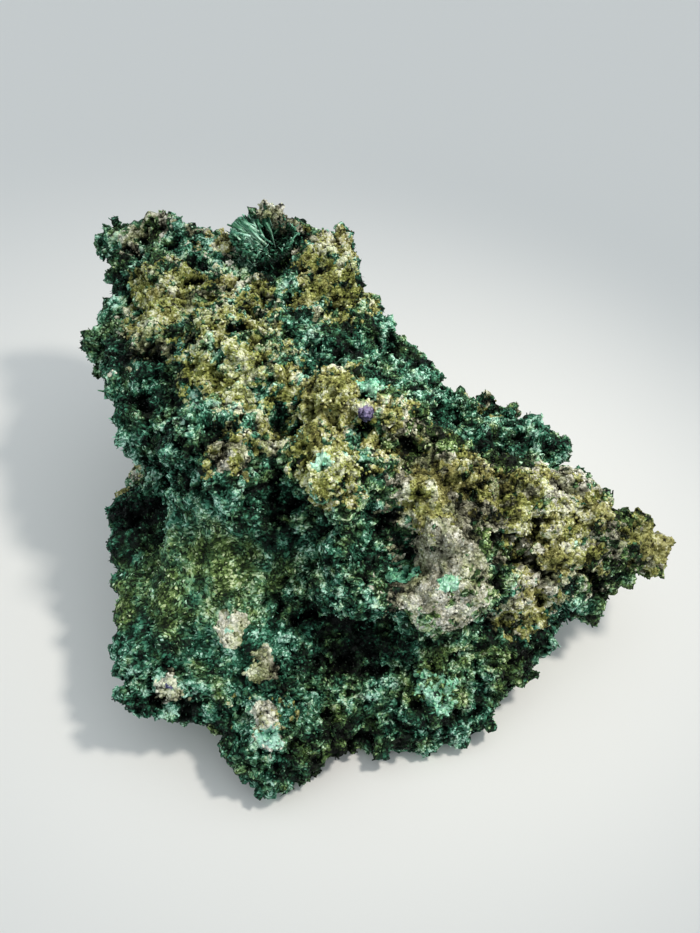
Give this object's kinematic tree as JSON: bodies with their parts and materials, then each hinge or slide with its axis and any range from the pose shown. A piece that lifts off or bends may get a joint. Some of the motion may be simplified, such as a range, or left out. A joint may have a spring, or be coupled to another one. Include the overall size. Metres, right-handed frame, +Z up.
{
  "type": "brochantite specimen",
  "caption": "Craggy lump of copper-stained matrix with a green brochantite druse, ochre and beige crusts, a pointed arm, and bladed crystals in an open hollow near its crown.",
  "frame": {"origin": "middle of the specimen's box, on the surface that it rests on", "axes": "+X towards the tip of the arm, along the longest extent; +Y towards the back of the crown; +Z up"},
  "size_m": [0.1018, 0.096, 0.0529],
  "materials": {
    "matrix_crust": "rough crumbly crust, dull beige and ochre under glittering dark green druse",
    "brochantite": "vitreous dark green to blue green crystals, paler at thin tips"
  },
  "bodies": {
    "root": {"matrix": "matrix_crust", "vug_crystals": "brochantite"}
  },
  "joints": []
}
